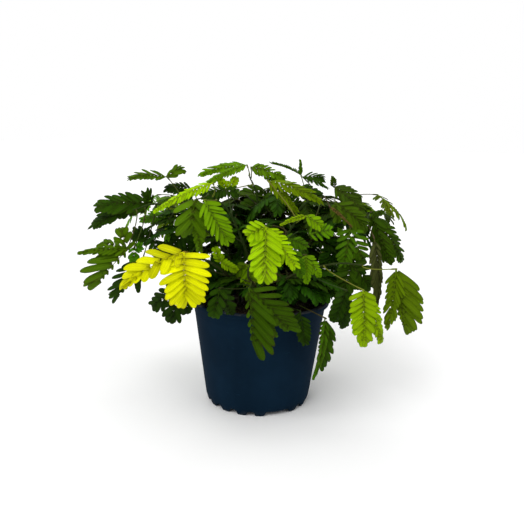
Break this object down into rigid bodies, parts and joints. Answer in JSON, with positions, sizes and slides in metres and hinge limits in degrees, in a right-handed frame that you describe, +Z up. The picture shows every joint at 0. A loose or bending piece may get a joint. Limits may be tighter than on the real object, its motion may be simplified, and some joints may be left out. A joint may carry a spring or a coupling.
{
  "type": "potted sensitive plant",
  "caption": "Low spreading sensitive plant with arching stems and feathered leaves, growing in a round tapered nursery pot with a scalloped foot.",
  "frame": {"origin": "centre of the pot's underside, on the plane that it rests on", "axes": "+Z up along the pot's axis; -Y is the side that the picture shows, +X to the right in the picture"},
  "size_m": [0.25, 0.2408, 0.1812],
  "materials": {
    "leaf_brown": "matt leaf",
    "leaf_dark": "matt leaf",
    "leaf_green": "matt leaf",
    "leaf_lime": "matt leaf",
    "leaf_mid": "matt leaf",
    "leaf_olive": "matt leaf",
    "leaf_yellow": "matt leaf",
    "pot": "moulded plastic, satin",
    "soil": "loose potting soil",
    "stem": "thin green-brown bark"
  },
  "bodies": {
    "root": {"foliage_back_left": "leaf_mid", "foliage_back_middle": "leaf_green", "foliage_back_right": "leaf_mid", "foliage_inner_high": "leaf_dark", "foliage_inner_left": "leaf_dark", "foliage_inner_low": "leaf_dark", "foliage_inner_middle": "leaf_dark", "foliage_inner_right": "leaf_dark", "leaf_bright_fan": "leaf_green", "leaf_crown_left": "leaf_lime", "leaf_crown_right": "leaf_green", "leaf_dark_crown": "leaf_dark", "leaf_dark_fan": "leaf_dark", "leaf_dark_rim": "leaf_dark", "leaf_green_front": "leaf_green", "leaf_left_behind": "leaf_dark", "leaf_left_high": "leaf_dark", "leaf_left_inner": "leaf_dark", "leaf_left_low": "leaf_green", "leaf_left_shade": "leaf_dark", "leaf_left_small": "leaf_mid", "leaf_left_upper": "leaf_mid", "leaf_lime_arc": "leaf_lime", "leaf_lime_front": "leaf_lime", "leaf_lime_front_right": "leaf_lime", "leaf_lime_hanging": "leaf_lime", "leaf_lime_high": "leaf_lime", "leaf_lime_low": "leaf_lime", "leaf_lime_ridge": "leaf_lime", "leaf_low_right": "leaf_mid", "leaf_olive_hanging": "leaf_olive", "leaf_olive_ridge": "leaf_olive", "leaf_over_rim": "leaf_green", "leaf_right_edge_on": "leaf_brown", "leaf_right_fan": "leaf_mid", "leaf_right_hanging": "leaf_olive", "leaf_right_high": "leaf_dark", "leaf_right_lime": "leaf_lime", "leaf_rim_right": "leaf_dark", "leaf_shade_right": "leaf_dark", "leaf_thin_bright": "leaf_green", "leaf_top_left": "leaf_olive", "leaf_twig_high": "leaf_mid", "leaf_under_yellow": "leaf_dark", "leaf_withered": "leaf_brown", "leaf_yellow": "leaf_yellow", "leaf_young_lime": "leaf_lime", "leaf_young_middle": "leaf_lime", "pot": "pot", "soil": "soil", "stem_front": "stem", "stem_front_left": "stem", "stem_front_right": "stem", "stem_high_left": "stem", "stem_left": "stem", "stem_middle": "stem", "stem_right": "stem", "stem_top": "stem"}
  },
  "joints": []
}
